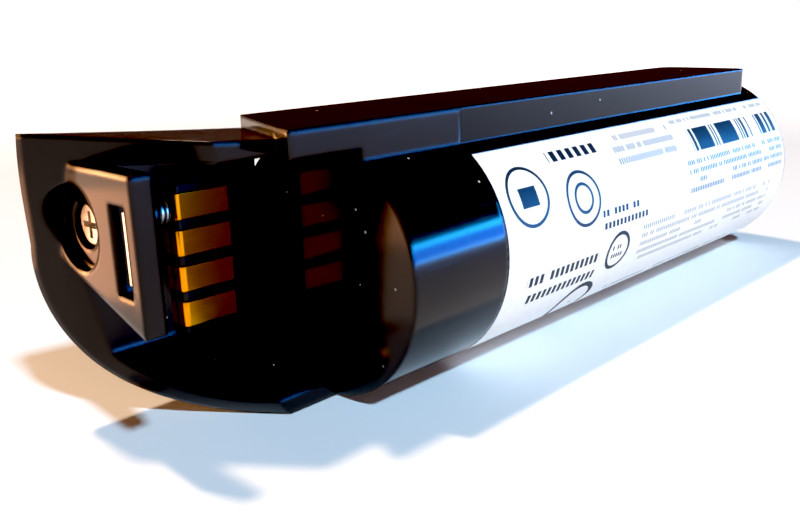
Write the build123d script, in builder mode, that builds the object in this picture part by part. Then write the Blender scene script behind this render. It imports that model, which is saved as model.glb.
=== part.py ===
from build123d import *
import math
import os

os.makedirs("parts", exist_ok=True)

# Rechargeable handle battery: a round tube with a key rail, closed by a scooped end cap.
# The tube's axis is X and the scoop is at -X. The rail is on top (+Z) and the pack lies on Z = 0.

# ---- overall sizes ----
overall_length = 90.92
hood_reach = 19.72
tube_radius = 11.0
tube_wall = 1.2
nose_wall = 1.5
nose_round = 1.6

# ---- key rail ----
rail_half = 5.8
rail_top = 12.4
rail_overhang_near = 7.0
rail_overhang_far = 2.6
rail_end_gap = 2.8
rail_corner = 2.0
channel_half = 3.2
channel_top = 10.9

# ---- tube joint and label ----
seam_offset = 11.2
lap_length = 3.0
lap_wall = 0.58
lap_clearance = 0.05
gasket_thickness = 0.2
label_start = 11.35
label_end_gap = 1.4
label_half_angle = 141.0
label_recess = 0.15
label_thickness = 0.12
label_clearance = 0.02

# ---- hood and pocket ----
hood_wall = 1.6
pocket_floor = 7.9
pocket_roof = 10.3
pocket_near = -9.0
bulkhead = 1.4
roof_overlap = 0.1
plate_length = 26.0
plate_tip_half = 8.5
plate_tip_side = (10.76, 2.27)
plate_root_side = (9.84, 4.91)
plate_root_rise = 11.1
plate_mid_rise = 11.95
plate_tip_rise = 13.1
near_cut_top = -3.1
near_cut_bottom = -1.5
skew_u = 0.8
skew_v = 0.6
rim_curve = ((-11.1, 13.4), (-10.0, 7.8), (-8.3, 1.1), (-7.3, -4.5), (-6.2, -8.7), (-4.0, -11.8))
reach = 40.0

# ---- screw wall ----
wall_face = -17.5
wall_thickness = 1.65
wall_near = -2.9
wall_low_near = -0.65
wall_low_far = 3.1
wall_root = 8.5
wall_fillet = 2.8
slot_low = 1.9
slot_high = 8.3
slot_near = -1.85
slot_far = 0.2
bar_low = 2.8
bar_high = 7.8
bar_visible = 1.1
bar_seat = 0.45
bar_inset = 0.3
bar_depth = 1.0
bar_clearance = 0.01
bar_round = 0.3

# ---- captive screw ----
screw_y = 5.4
screw_z = 5.9
relief_radius = 3.2
relief_depth = 0.7
head_radius = 1.6
head_height = 1.2
head_inset = 0.35
head_clearance = 0.12
head_cross_width = 0.42
head_cross_length = 2.0
head_cross_depth = 0.7
screw_travel = 2.0
neck_radius = 0.75
neck_clearance = 0.1
thread_radius = 1.0
thread_length = 1.5
thread_chamfer = 0.25
head_round = 0.25
barrel_radius = 2.6
barrel_floor = 0.8
travel_margin = 0.1
ring_radius = 1.5
ring_thickness = 0.35
ring_gap = 0.02
ring_bore_gap = 0.02
ring_slot = 1.3

# ---- contacts ----
contact_pitch = 3.0
contact_height = 2.1
contact_top = 6.7
contact_length = 5.0
contact_left = -8.8
contact_face = 6.7
contact_strip = 0.25
contact_bend = 0.45
contact_count = 4
tail_width = 1.0
tail_drop = 0.5
tail_reach = 3.1
tail_clearance = 0.03
carrier_inset = 0.05
carrier_margin_top = 0.7
carrier_margin_low = 0.7
carrier_margin_right = 0.4
carrier_base = 7.2
tail_start = 1.2
floor_gap = 0.02

# ---- protection board ----
board_face = 2.3
board_thickness = 0.8
board_radius = 9.4
board_key_half = 2.9
board_key_top = 10.6
post_radius = 0.8
post_ring = 7.2
post_angles = (110.0, 180.0, 250.0)
solder_gap = 0.02
fet_size = (4.4, 3.0, 0.65)
fet_places = ((-3.9, 2.6), (-3.9, -2.6))
gauge_size = (3.0, 3.0, 0.7)
gauge_place = (2.6, 0.4)
passive_size = (1.0, 0.5, 0.4)
passive_rows = 3
passive_columns = 4
passive_pitch = (1.7, 1.3)
passive_centre = (1.2, -4.6)

# ---- cell ----
cell_tip = 4.0
cell_length = 65.0
can_lip = 0.7
can_radius = 9.05
can_wall = 0.25
can_bottom = 0.3
can_lip_radius = 7.4
can_lip_thickness = 0.25
bead_start = 3.4
bead_width = 1.2
bead_depth = 0.55
bead_slope = 0.4
sleeve_thickness = 0.1
sleeve_lip = 1.2
sleeve_gap = 0.01
stack_gap = 0.05
gasket_lip_radius = 7.4
gasket_lip = 0.3
gasket_length = 2.9
cap_flange_radius = 8.3
cap_flange = 0.6
crown_radius = 3.9
crown_wall = 0.3
vent_hole_radius = 0.5
vent_hole_ring = 5.9
vent_hole_count = 4
vent_disc = 0.3
vent_score_radius = 3.0
vent_score_depth = 0.12
vent_score_width = 0.3
lead_plate = 0.5
lead_plate_radius = 6.2
lead_plate_drop = 0.15
insulator_thickness = 0.2
insulator_hole = 2.2
roll_start = 5.9
roll_radius = 8.7
mandrel_radius = 1.5
mandrel_wall = 0.4
roll_end_gap = 0.5
inner_lead_half = 0.6
inner_lead_thickness = 0.1
inner_lead_rise = 1.65

# ---- tabs, spacer and pads ----
tab_thickness = 0.15
tab_half = 1.5
positive_tab_up = 2.5
positive_tab_down = 6.0
positive_tab_foot = 1.3
negative_tab_rise = 10.0
negative_tab_down = 3.0
negative_tab_foot = 8.6
tab_film = 0.08
tab_film_half = 2.4
tab_film_end = 1.5
spacer_inner = 7.6
spacer_outer = 9.0
spacer_notch_half = 3.3
foam_radius = 8.4
thermistor_size = (1.6, 0.9, 0.6)
thermistor_offset = 8.0
thermistor_y = 2.45
thermistor_z = 9.75
lead_radius = 0.12
lead_spread = 0.2

# ---- derived positions ----
x_tip = -overall_length / 2
x_nose = overall_length / 2
x_shoulder = x_tip + hood_reach
x_seam = x_shoulder + seam_offset
x_rail_near = x_shoulder - rail_overhang_near
x_rail_far = x_nose - rail_end_gap
x_wall_face = x_shoulder + wall_face
x_wall_back = x_wall_face + wall_thickness
x_bulkhead_back = x_shoulder + bulkhead
x_board = x_shoulder + board_face
x_board_back = x_board + board_thickness
x_cell = x_shoulder + cell_tip
x_cell_end = x_cell + cell_length
x_can = x_cell + can_lip
x_inner_nose = x_nose - nose_wall
x_spigot = x_seam - lap_length + gasket_thickness + lap_clearance
axis_z = tube_radius
bore_radius = tube_radius - tube_wall
hood_inner = tube_radius - hood_wall
lap_radius = bore_radius + lap_wall
label_length = x_nose - label_end_gap - x_shoulder - label_start


def end_plane(x):
    """Plane across the tube at x: local X is +Y and local Y is +Z from the tube's axis."""
    return Plane(origin=(x, 0, axis_z), x_dir=(0, 1, 0), z_dir=(1, 0, 0))


def side_plane(y):
    """Plane along the tube at y: local X is +X, local Y is +Z from the tube's axis, normal -Y."""
    return Plane(origin=(0, y, axis_z), x_dir=(1, 0, 0), z_dir=(0, -1, 0))


def flat_plane(z):
    """Level plane at the height z above the tube's axis."""
    return Plane.XY.offset(axis_z + z)


def save(part, label):
    """Label one solid node and write it."""
    part.label = label
    export_step(part, "parts/" + label + ".step")


def span_box(x_range, y_range, z_range, mode=Mode.ADD):
    """Box from its limits; z is measured from the tube's axis."""
    centre_x = (x_range[0] + x_range[1]) / 2
    centre_y = (y_range[0] + y_range[1]) / 2
    centre_z = (z_range[0] + z_range[1]) / 2 + axis_z
    with Locations((centre_x, centre_y, centre_z)):
        Box(x_range[1] - x_range[0], y_range[1] - y_range[0], z_range[1] - z_range[0], mode=mode)


def disc(x_range, radius, centre=(0.0, 0.0), mode=Mode.ADD):
    """Round bar along X between two x positions."""
    with BuildSketch(end_plane(x_range[0])) as profile:
        with Locations(centre):
            Circle(radius)
    extrude(profile.sketch, amount=x_range[1] - x_range[0], mode=mode)


def ring(x_range, outer, inner):
    """Tube along X between two x positions."""
    disc(x_range, outer)
    disc(x_range, inner, mode=Mode.SUBTRACT)


def turned(points, mode=Mode.ADD):
    """Solid turned about the tube's axis from (x, radius) points."""
    with BuildSketch(side_plane(0)) as profile:
        with BuildLine():
            Polyline(*points, close=True)
        make_face()
    revolve(profile.sketch, axis=Axis((0, 0, axis_z), (1, 0, 0)), mode=mode)


def rail_channel(x_range):
    """Groove under the rail that takes the negative tab."""
    span_box(x_range, (-channel_half, channel_half), (0, channel_top), mode=Mode.SUBTRACT)


def label_gap_corners(clearance):
    """Corners of the wedge left uncovered between the label's two long edges."""
    angle = math.radians(label_half_angle) + clearance / tube_radius
    edge_y = reach * math.sin(angle)
    edge_z = -reach * math.cos(angle)
    return ((0, 0), (edge_y, edge_z), (0, edge_z + reach), (-edge_y, edge_z))


def plate_corners(top_half, side):
    """Corners of the plate's cross-section: flat top and the two points where it meets the tube."""
    return ((-side[0], side[1]), side, (top_half, plate_tip_rise), (-top_half, plate_tip_rise))


def contact_centre(index):
    """Height of one contact's middle above the tube's axis."""
    return contact_top - contact_height / 2 - index * contact_pitch


# ---- end cap: hood, screw wall, bulkhead and collar in one moulding ----
x_far = x_shoulder - plate_length
barrel_floor_x = x_wall_face + relief_depth + head_inset + head_height + screw_travel + travel_margin
barrel_end = barrel_floor_x + barrel_floor
screw_axis = (screw_y, screw_z)
skew_plane = Plane(origin=(x_shoulder, 0, axis_z), x_dir=(skew_u, skew_v, 0), z_dir=(skew_v, -skew_u, 0))

with BuildPart() as end_cap:
    disc((x_far, x_seam), tube_radius)
    # flat-topped plate that widens from the rail to the tip, its sides tangent to the tube
    with BuildSketch(end_plane(x_far)):
        with BuildLine():
            Polyline(*plate_corners(plate_tip_half, plate_tip_side), close=True)
        make_face()
    with BuildSketch(end_plane(x_shoulder)):
        with BuildLine():
            Polyline(*plate_corners(rail_half, plate_root_side), close=True)
        make_face()
    loft(ruled=True)
    # the plate's top rises gently from the shoulder to the tip
    with BuildSketch(side_plane(reach)):
        with BuildLine():
            ThreePointArc(
                (x_shoulder, plate_root_rise),
                ((x_shoulder + x_far) / 2 + 1, plate_mid_rise),
                (x_far, plate_tip_rise),
            )
            Polyline(
                (x_far, plate_tip_rise),
                (x_far, reach),
                (x_shoulder, reach),
                (x_shoulder, plate_root_rise),
            )
        make_face()
    extrude(amount=2 * reach, mode=Mode.SUBTRACT)
    # mouth of the pocket, open towards -Y
    with BuildSketch(end_plane(x_far)):
        with BuildLine():
            Polyline(
                (near_cut_top, reach),
                (near_cut_top, rail_top),
                (near_cut_bottom, -tube_radius),
                (near_cut_bottom, -reach),
                (-reach, -reach),
                (-reach, reach),
                close=True,
            )
        make_face()
    extrude(amount=x_shoulder - x_far, mode=Mode.SUBTRACT)
    # pocket behind the rim, with a flat floor for the contacts
    with BuildSketch(end_plane(x_far)):
        Circle(hood_inner)
        with Locations(((pocket_near + pocket_floor) / 2, pocket_roof / 2)):
            Rectangle(pocket_floor - pocket_near, pocket_roof)
        with Locations((pocket_floor + reach / 2, 0)):
            Rectangle(reach, reach, mode=Mode.SUBTRACT)
    extrude(amount=x_shoulder - x_far, mode=Mode.SUBTRACT)
    # sweep of the screw wall into the far wall
    with BuildSketch(flat_plane(wall_low_far)):
        with BuildLine():
            Polyline(
                (x_wall_face - wall_fillet, pocket_floor),
                (x_wall_face - wall_fillet, wall_root),
                (x_wall_back, wall_root),
                (x_wall_back, pocket_floor - wall_fillet),
                (x_wall_face, pocket_floor - wall_fillet),
            )
            RadiusArc(
                (x_wall_face, pocket_floor - wall_fillet),
                (x_wall_face - wall_fillet, pocket_floor),
                wall_fillet,
            )
        make_face()
    extrude(amount=pocket_roof + roof_overlap - wall_low_far)
    # slanted end of the hood
    with BuildSketch(skew_plane):
        with BuildLine():
            Spline(*rim_curve)
            Polyline(
                rim_curve[-1],
                (rim_curve[-1][0], -reach),
                (-reach, -reach),
                (-reach, reach),
                (rim_curve[0][0], reach),
                rim_curve[0],
            )
        make_face()
    extrude(amount=reach, both=True, mode=Mode.SUBTRACT)
    # screw wall with its barrel
    with BuildSketch(end_plane(x_wall_face)):
        with BuildLine():
            Polyline(
                (wall_near, wall_low_near),
                (wall_root, wall_low_far),
                (wall_root, pocket_roof + roof_overlap),
                (wall_near, pocket_roof + roof_overlap),
                close=True,
            )
        make_face()
    extrude(amount=wall_thickness)
    disc((x_wall_face, barrel_end), barrel_radius, screw_axis)
    # key rail: above the roof over the hood, down to the tube over the collar
    with BuildSketch(flat_plane(pocket_roof)):
        with BuildLine():
            Polyline(
                (x_rail_near, -rail_half),
                (x_shoulder - rail_overhang_far, rail_half),
                (x_seam, rail_half),
                (x_seam, -rail_half),
                close=True,
            )
        make_face()
    extrude(amount=rail_top - pocket_roof)
    span_box((x_shoulder, x_seam), (-rail_half, rail_half), (0, rail_top))
    # inside of the collar, behind the bulkhead
    disc((x_bulkhead_back, x_seam), bore_radius, mode=Mode.SUBTRACT)
    disc((x_seam - lap_length, x_seam), lap_radius, mode=Mode.SUBTRACT)
    rail_channel((x_bulkhead_back, x_seam))
    # posts for the board
    for angle in post_angles:
        with BuildSketch(end_plane(x_shoulder)) as post:
            with PolarLocations(post_ring, 1, start_angle=angle):
                Circle(post_radius)
        extrude(post.sketch, amount=board_face - solder_gap)
    # screw relief, head bore and neck hole
    disc((x_wall_face - reach, x_wall_face + relief_depth), relief_radius, screw_axis, mode=Mode.SUBTRACT)
    disc((x_wall_face, barrel_floor_x), head_radius + head_clearance, screw_axis, mode=Mode.SUBTRACT)
    disc((x_wall_face, barrel_end), neck_radius + neck_clearance, screw_axis, mode=Mode.SUBTRACT)
    # slot and the seat of its steel bar
    span_box((x_wall_face, x_wall_back), (slot_near, slot_far), (slot_low, slot_high), mode=Mode.SUBTRACT)
    span_box(
        (x_wall_face + bar_inset - bar_clearance, x_wall_face + bar_inset + bar_depth + bar_clearance),
        (slot_near - bar_seat - bar_clearance, slot_near),
        (bar_low - bar_clearance, bar_high + bar_clearance),
        mode=Mode.SUBTRACT,
    )
    # passages for the contact tails
    for index in range(contact_count):
        centre = contact_centre(index) - tail_drop
        span_box(
            (x_shoulder, x_bulkhead_back),
            (pocket_floor - floor_gap - contact_strip - 2 * tail_clearance, pocket_floor),
            (centre - tail_width / 2 - tail_clearance, centre + tail_width / 2 + tail_clearance),
            mode=Mode.SUBTRACT,
        )

save(end_cap.part, "end_cap")

# ---- tube closed at the nose ----
with BuildPart() as tube_housing:
    disc((x_seam, x_nose), tube_radius)
    fillet(
        tube_housing.edges().filter_by(GeomType.CIRCLE).sort_by(Axis.X)[-1],
        radius=nose_round,
    )
    span_box((x_seam, x_rail_far), (-rail_half, rail_half), (0, rail_top))
    fillet(
        tube_housing.edges().filter_by(Axis.Z).filter_by_position(Axis.X, x_rail_far - 0.01, x_rail_far + 0.01),
        radius=rail_corner,
    )
    # spigot that laps inside the collar
    disc((x_spigot, x_seam), lap_radius - lap_clearance)
    disc((x_spigot, x_inner_nose), bore_radius, mode=Mode.SUBTRACT)
    rail_channel((x_spigot, x_inner_nose))
    # shallow seat for the label
    with BuildSketch(end_plane(x_shoulder + label_start - label_clearance)) as seat:
        Circle(tube_radius + label_recess)
        Circle(tube_radius - label_recess, mode=Mode.SUBTRACT)
        with BuildLine():
            Polyline(*label_gap_corners(label_clearance), close=True)
        make_face(mode=Mode.SUBTRACT)
    extrude(seat.sketch, amount=label_length + 2 * label_clearance, mode=Mode.SUBTRACT)

save(tube_housing.part, "tube_housing")

# ---- label, a thin sheet wrapped round the tube below the rail ----
with BuildPart() as label:
    with BuildSketch(end_plane(x_shoulder + label_start)):
        Circle(tube_radius - label_recess + label_clearance + label_thickness)
        Circle(tube_radius - label_recess + label_clearance, mode=Mode.SUBTRACT)
        with BuildLine():
            Polyline(*label_gap_corners(0.0), close=True)
        make_face(mode=Mode.SUBTRACT)
    extrude(amount=label_length)

save(label.part, "label")

# ---- gasket at the end of the lap joint ----
with BuildPart() as joint_gasket:
    ring((x_seam - lap_length, x_seam - lap_length + gasket_thickness), lap_radius - lap_clearance, bore_radius)
    rail_channel((x_seam - lap_length, x_seam - lap_length + gasket_thickness))

save(joint_gasket.part, "joint_gasket")

# ---- captive screw, its retaining ring and the slot's steel bar ----
x_head = x_wall_face + relief_depth + head_inset
x_ring = barrel_end + ring_gap
x_neck_end = barrel_end + ring_gap + ring_thickness + ring_gap
x_screw_tip = x_neck_end + thread_length

with BuildPart() as captive_screw:
    disc((x_head, x_head + head_height), head_radius, screw_axis)
    fillet(captive_screw.edges().sort_by(Axis.X)[0], radius=head_round)
    disc((x_head + head_height, x_neck_end), neck_radius, screw_axis)
    disc((x_neck_end, x_screw_tip), thread_radius, screw_axis)
    chamfer(captive_screw.edges().sort_by(Axis.X)[-1], length=thread_chamfer)
    with BuildSketch(end_plane(x_head)):
        with Locations(screw_axis):
            Rectangle(head_cross_length, head_cross_width)
            Rectangle(head_cross_width, head_cross_length)
    extrude(amount=head_cross_depth, mode=Mode.SUBTRACT)

save(captive_screw.part, "captive_screw")

with BuildPart() as screw_retaining_ring:
    disc((x_ring, x_ring + ring_thickness), ring_radius, screw_axis)
    disc((x_ring, x_ring + ring_thickness), neck_radius + ring_bore_gap, screw_axis, mode=Mode.SUBTRACT)
    span_box(
        (x_ring, x_ring + ring_thickness),
        (screw_y - ring_radius, screw_y),
        (screw_z - ring_slot / 2, screw_z + ring_slot / 2),
        mode=Mode.SUBTRACT,
    )

save(screw_retaining_ring.part, "screw_retaining_ring")

with BuildPart() as slot_bar:
    span_box(
        (x_wall_face + bar_inset, x_wall_face + bar_inset + bar_depth),
        (slot_near - bar_seat, slot_near + bar_visible),
        (bar_low, bar_high),
    )
    fillet(
        slot_bar.edges().filter_by(Axis.Z).sort_by(Axis.Y)[-2:],
        radius=bar_round,
    )

save(slot_bar.part, "slot_bar")

# ---- contact carrier and the four formed contacts ----
x_contact = x_shoulder + contact_left
x_carrier = x_contact + carrier_inset
x_land_end = x_contact + contact_length + carrier_margin_right
carrier_back = pocket_floor - floor_gap
tail_back = carrier_back - tail_clearance
tail_front = tail_back - contact_strip
carrier_top = contact_top + carrier_margin_top
carrier_low = contact_centre(contact_count - 1) - contact_height / 2 - carrier_margin_low

with BuildPart() as contact_carrier:
    span_box((x_carrier, x_shoulder - floor_gap), (carrier_base, carrier_back), (carrier_low, carrier_top))
    span_box((x_carrier, x_land_end), (contact_face + carrier_inset, carrier_back), (carrier_low, carrier_top))
    fillet(
        contact_carrier.edges().filter_by(Axis.Z).sort_by(Axis.Y)[:2].sort_by(Axis.X)[0],
        radius=contact_bend,
    )
    for index in range(contact_count):
        centre = contact_centre(index)
        low = centre - contact_height / 2 - tail_clearance
        high = centre + contact_height / 2 + tail_clearance
        with BuildSketch(flat_plane(low)) as groove:
            with Locations((x_contact, contact_face)):
                Rectangle(
                    contact_length + tail_clearance,
                    carrier_back - contact_face,
                    align=(Align.MIN, Align.MIN),
                )
            with Locations((x_contact + contact_strip + tail_clearance, contact_face + contact_strip + tail_clearance)):
                Rectangle(
                    contact_length,
                    carrier_back - contact_face,
                    align=(Align.MIN, Align.MIN),
                    mode=Mode.SUBTRACT,
                )
        extrude(groove.sketch, amount=high - low, mode=Mode.SUBTRACT)
        span_box(
            (x_contact, x_contact + tail_start + tail_clearance),
            (tail_front - tail_clearance, carrier_back),
            (low, high),
            mode=Mode.SUBTRACT,
        )
        span_box(
            (x_carrier, x_shoulder),
            (tail_front - tail_clearance, carrier_back),
            (centre - tail_drop - tail_width / 2 - tail_clearance, centre - tail_drop + tail_width / 2 + tail_clearance),
            mode=Mode.SUBTRACT,
        )

save(contact_carrier.part, "contact_carrier")

for index in range(contact_count):
    centre = contact_centre(index)
    with BuildPart() as contact:
        with BuildSketch(flat_plane(centre - contact_height / 2)):
            with BuildLine():
                Polyline(
                    (x_contact + contact_length, contact_face),
                    (x_contact, contact_face),
                    (x_contact, tail_back),
                    (x_contact + tail_start, tail_back),
                    (x_contact + tail_start, tail_front),
                    (x_contact + contact_strip, tail_front),
                    (x_contact + contact_strip, contact_face + contact_strip),
                    (x_contact + contact_length, contact_face + contact_strip),
                    close=True,
                )
            make_face()
        extrude(amount=contact_height)
        fillet(
            contact.edges().filter_by(Axis.Z).sort_by(Axis.X)[:2].sort_by(Axis.Y)[0],
            radius=contact_bend,
        )
        span_box(
            (x_contact, x_shoulder + tail_reach),
            (tail_front, tail_back),
            (centre - tail_drop - tail_width / 2, centre - tail_drop + tail_width / 2),
        )
    save(contact.part, "contact_" + str(index + 1))

# ---- protection board, with a key that stands in the rail channel ----
with BuildPart() as protection_board:
    disc((x_board, x_board_back), board_radius)
    span_box((x_board, x_board_back), (-board_key_half, board_key_half), (0, board_key_top))
    for index in range(contact_count):
        centre = contact_centre(index) - tail_drop
        span_box(
            (x_board, x_board_back),
            (tail_front - tail_clearance, board_radius),
            (centre - tail_width / 2 - tail_clearance, centre + tail_width / 2 + tail_clearance),
            mode=Mode.SUBTRACT,
        )

save(protection_board.part, "protection_board")

with BuildPart() as power_transistors:
    for place in fet_places:
        span_box(
            (x_board_back + solder_gap, x_board_back + solder_gap + fet_size[2]),
            (place[0] - fet_size[1] / 2, place[0] + fet_size[1] / 2),
            (place[1] - fet_size[0] / 2, place[1] + fet_size[0] / 2),
        )

save(power_transistors.part, "power_transistors")

with BuildPart() as gauge_chip:
    span_box(
        (x_board - solder_gap - gauge_size[2], x_board - solder_gap),
        (gauge_place[0] - gauge_size[0] / 2, gauge_place[0] + gauge_size[0] / 2),
        (gauge_place[1] - gauge_size[1] / 2, gauge_place[1] + gauge_size[1] / 2),
    )

save(gauge_chip.part, "gauge_chip")

with BuildPart() as chip_resistors:
    with BuildSketch(end_plane(x_board - solder_gap - passive_size[2])):
        with Locations(passive_centre):
            with GridLocations(passive_pitch[0], passive_pitch[1], passive_columns, passive_rows):
                Rectangle(passive_size[0], passive_size[1])
    extrude(amount=passive_size[2])

save(chip_resistors.part, "chip_resistors")

# ---- spacer between the board and the cell ----
with BuildPart() as cell_spacer:
    ring((x_board_back + solder_gap, x_can - sleeve_gap - sleeve_thickness - stack_gap), spacer_outer, spacer_inner)
    span_box(
        (x_board_back, x_can),
        (-spacer_notch_half, spacer_notch_half),
        (0, spacer_outer),
        mode=Mode.SUBTRACT,
    )

save(cell_spacer.part, "cell_spacer")

# ---- cell ----
r_in = can_radius - can_wall
x_bead = x_can + bead_start
x_bead_end = x_bead + bead_width

with BuildPart() as cell_can:
    turned(
        (
            (x_cell_end, 0),
            (x_cell_end, can_radius),
            (x_bead_end, can_radius),
            (x_bead_end - bead_slope, can_radius - bead_depth),
            (x_bead + bead_slope, can_radius - bead_depth),
            (x_bead, can_radius),
            (x_can, can_radius),
            (x_can, can_lip_radius),
            (x_can + can_lip_thickness, can_lip_radius),
            (x_can + can_lip_thickness, r_in),
            (x_bead - can_wall / 2, r_in),
            (x_bead + bead_slope - can_wall / 2, r_in - bead_depth),
            (x_bead_end - bead_slope + can_wall / 2, r_in - bead_depth),
            (x_bead_end + can_wall / 2, r_in),
            (x_cell_end - can_bottom, r_in),
            (x_cell_end - can_bottom, 0),
        )
    )

save(cell_can.part, "cell_can")

with BuildPart() as cell_sleeve:
    sleeve_in = can_radius + sleeve_gap
    sleeve_out = sleeve_in + sleeve_thickness
    x_sleeve = x_can - sleeve_gap
    x_sleeve_end = x_cell_end + sleeve_gap
    turned(
        (
            (x_sleeve - sleeve_thickness, can_radius - sleeve_lip),
            (x_sleeve - sleeve_thickness, sleeve_out),
            (x_sleeve_end + sleeve_thickness, sleeve_out),
            (x_sleeve_end + sleeve_thickness, can_radius - sleeve_lip),
            (x_sleeve_end, can_radius - sleeve_lip),
            (x_sleeve_end, sleeve_in),
            (x_sleeve, sleeve_in),
            (x_sleeve, can_radius - sleeve_lip),
        )
    )

save(cell_sleeve.part, "cell_sleeve")

x_gasket = x_can + can_lip_thickness + sleeve_gap
x_cap = x_gasket + gasket_lip + sleeve_gap
x_disc = x_cap + cap_flange + stack_gap
x_lower_lip = x_disc + vent_disc + sleeve_gap
gasket_out = r_in - sleeve_gap
channel_radius = cap_flange_radius + sleeve_gap

with BuildPart() as cell_gasket:
    turned(
        (
            (x_gasket, gasket_lip_radius),
            (x_gasket, gasket_out),
            (x_gasket + gasket_length, gasket_out),
            (x_gasket + gasket_length, channel_radius),
            (x_lower_lip + gasket_lip, channel_radius),
            (x_lower_lip + gasket_lip, gasket_lip_radius),
            (x_lower_lip, gasket_lip_radius),
            (x_lower_lip, channel_radius),
            (x_gasket + gasket_lip, channel_radius),
            (x_gasket + gasket_lip, gasket_lip_radius),
        )
    )

save(cell_gasket.part, "cell_gasket")

with BuildPart() as cell_top_cap:
    turned(
        (
            (x_cell, 0),
            (x_cell, crown_radius),
            (x_cap, crown_radius + crown_wall),
            (x_cap, cap_flange_radius),
            (x_cap + cap_flange, cap_flange_radius),
            (x_cap + cap_flange, crown_radius),
            (x_cell + crown_wall, crown_radius - crown_wall),
            (x_cell + crown_wall, 0),
        )
    )
    with BuildSketch(end_plane(x_cell)):
        with PolarLocations(vent_hole_ring, vent_hole_count):
            Circle(vent_hole_radius)
    extrude(amount=x_cap + cap_flange - x_cell, mode=Mode.SUBTRACT)

save(cell_top_cap.part, "cell_top_cap")

with BuildPart() as cell_vent_disc:
    disc((x_disc, x_disc + vent_disc), cap_flange_radius)
    with BuildSketch(end_plane(x_disc)):
        Circle(vent_score_radius + vent_score_width / 2)
        Circle(vent_score_radius - vent_score_width / 2, mode=Mode.SUBTRACT)
    extrude(amount=vent_score_depth, mode=Mode.SUBTRACT)

save(cell_vent_disc.part, "cell_vent_disc")

x_plate = x_disc + vent_disc + lead_plate_drop

with BuildPart() as cell_lead_plate:
    disc((x_plate, x_plate + lead_plate), lead_plate_radius)
    disc((x_disc + vent_disc, x_plate), mandrel_radius)

save(cell_lead_plate.part, "cell_lead_plate")

x_upper = x_cell + roll_start - insulator_thickness - stack_gap
x_roll = x_cell + roll_start
x_roll_end = x_cell_end - can_bottom - roll_end_gap
roll_out = roll_radius - sleeve_gap

with BuildPart() as cell_upper_insulator:
    ring((x_upper, x_upper + insulator_thickness), roll_out, insulator_hole)

save(cell_upper_insulator.part, "cell_upper_insulator")

with BuildPart() as cell_electrode_roll:
    ring((x_roll, x_roll_end), roll_out, mandrel_radius + stack_gap)

save(cell_electrode_roll.part, "cell_electrode_roll")

with BuildPart() as cell_mandrel:
    ring((x_roll, x_roll_end), mandrel_radius, mandrel_radius - mandrel_wall)

save(cell_mandrel.part, "cell_mandrel")

with BuildPart() as cell_lower_insulator:
    ring((x_roll_end + stack_gap, x_roll_end + stack_gap + insulator_thickness), roll_out, mandrel_radius)

save(cell_lower_insulator.part, "cell_lower_insulator")

with BuildPart() as cell_inner_lead:
    span_box(
        (x_plate + lead_plate, x_roll),
        (-inner_lead_half, inner_lead_half),
        (inner_lead_rise, inner_lead_rise + inner_lead_thickness),
    )

save(cell_inner_lead.part, "cell_inner_lead")

# ---- nickel tabs and their film ----
x_tab = x_cell - solder_gap - tab_thickness
x_foot = x_board_back + solder_gap

with BuildPart() as positive_tab:
    span_box((x_tab, x_tab + tab_thickness), (-tab_half, tab_half), (-positive_tab_down, positive_tab_up))
    span_box(
        (x_foot, x_tab + tab_thickness),
        (-tab_half, tab_half),
        (-positive_tab_down - tab_thickness, -positive_tab_down),
    )
    span_box(
        (x_foot, x_foot + tab_thickness),
        (-tab_half, tab_half),
        (-positive_tab_down - positive_tab_foot, -positive_tab_down),
    )

save(positive_tab.part, "positive_tab")

x_base = x_cell_end + sleeve_gap + sleeve_thickness + sleeve_gap

with BuildPart() as negative_tab:
    span_box((x_foot, x_base), (-tab_half, tab_half), (negative_tab_rise, negative_tab_rise + tab_thickness))
    span_box(
        (x_base, x_base + tab_thickness),
        (-tab_half, tab_half),
        (-negative_tab_down, negative_tab_rise + tab_thickness),
    )
    span_box(
        (x_foot, x_foot + tab_thickness),
        (-tab_half, tab_half),
        (negative_tab_foot, negative_tab_rise + tab_thickness),
    )

save(negative_tab.part, "negative_tab")

film_low = sleeve_out + sleeve_gap

with BuildPart() as tab_film_strip:
    span_box(
        (x_can + tab_film_end, x_cell_end - tab_film_end),
        (-tab_film_half, tab_film_half),
        (film_low, film_low + tab_film),
    )

save(tab_film_strip.part, "tab_insulating_film")

x_foam = x_base + tab_thickness + sleeve_gap

with BuildPart() as nose_foam_pad:
    disc((x_foam, x_inner_nose - sleeve_gap), foam_radius)

save(nose_foam_pad.part, "nose_foam_pad")

# ---- thermistor beside the negative tab ----
x_thermistor = x_can + thermistor_offset

with BuildPart() as thermistor:
    span_box(
        (x_thermistor, x_thermistor + thermistor_size[0]),
        (thermistor_y - thermistor_size[1] / 2, thermistor_y + thermistor_size[1] / 2),
        (thermistor_z - thermistor_size[2] / 2, thermistor_z + thermistor_size[2] / 2),
    )

save(thermistor.part, "thermistor")

with BuildPart() as thermistor_leads:
    for offset in (-lead_spread, lead_spread):
        disc((x_foot, x_thermistor), lead_radius, (thermistor_y + offset, thermistor_z))

save(thermistor_leads.part, "thermistor_leads")
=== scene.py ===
"""Rechargeable handle battery: finishes, screw thread, printed label, light and camera.

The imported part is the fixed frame. Every length below is in metres in that frame: +X runs along the
tube towards the nose, +Z goes up through the key rail, and the open side of the pocket faces -Y.
"""

import logging
import math
from dataclasses import dataclass, field
from enum import Enum
from typing import Any, Callable, Sequence

import bmesh
import bpy
from mathutils import Matrix, Vector


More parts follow.
